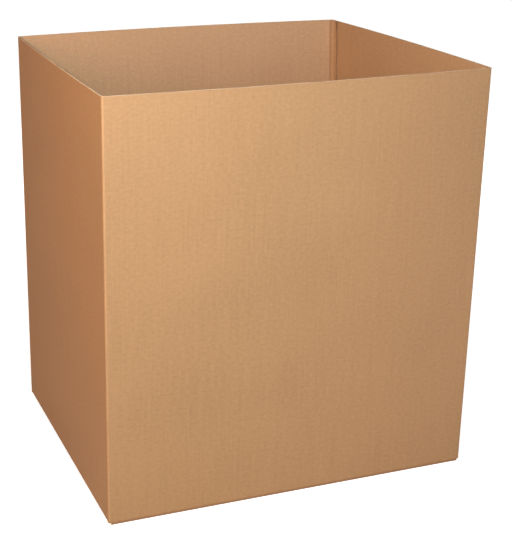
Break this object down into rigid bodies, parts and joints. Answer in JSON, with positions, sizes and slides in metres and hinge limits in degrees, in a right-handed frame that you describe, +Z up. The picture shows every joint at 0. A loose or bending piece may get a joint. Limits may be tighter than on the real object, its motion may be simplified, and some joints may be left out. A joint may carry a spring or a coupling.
{
  "type": "bulk pallet box",
  "caption": "Tall open-topped corrugated case folded from one blank, with hinged outer bottom flaps, for loose goods on a pallet.",
  "frame": {"origin": "centre of the box's outline in plan, on the floor", "axes": "+Z up to the open rim, the front wall faces -Y, +X to the right seen from the front"},
  "size_m": [1.252, 1.0746, 1.321],
  "materials": {
    "kraft_board": "matte uncoated kraft liner"
  },
  "bodies": {
    "box": {"box_body": "kraft_board"},
    "front_flap": {"front_bottom_flap": "kraft_board"},
    "back_flap": {"back_bottom_flap": "kraft_board"}
  },
  "joints": [
    {"name": "front_flap_fold", "type": "hinge", "parent": "box", "child": "front_flap", "pos_m": [-0.0115, -0.50713, 0.0035], "axis": [-1, 0, 0], "range_deg": [0, 180]},
    {"name": "back_flap_fold", "type": "hinge", "parent": "box", "child": "back_flap", "pos_m": [-0.0115, 0.50187, 0.0035], "axis": [1, 0, 0], "range_deg": [0, 180]}
  ]
}
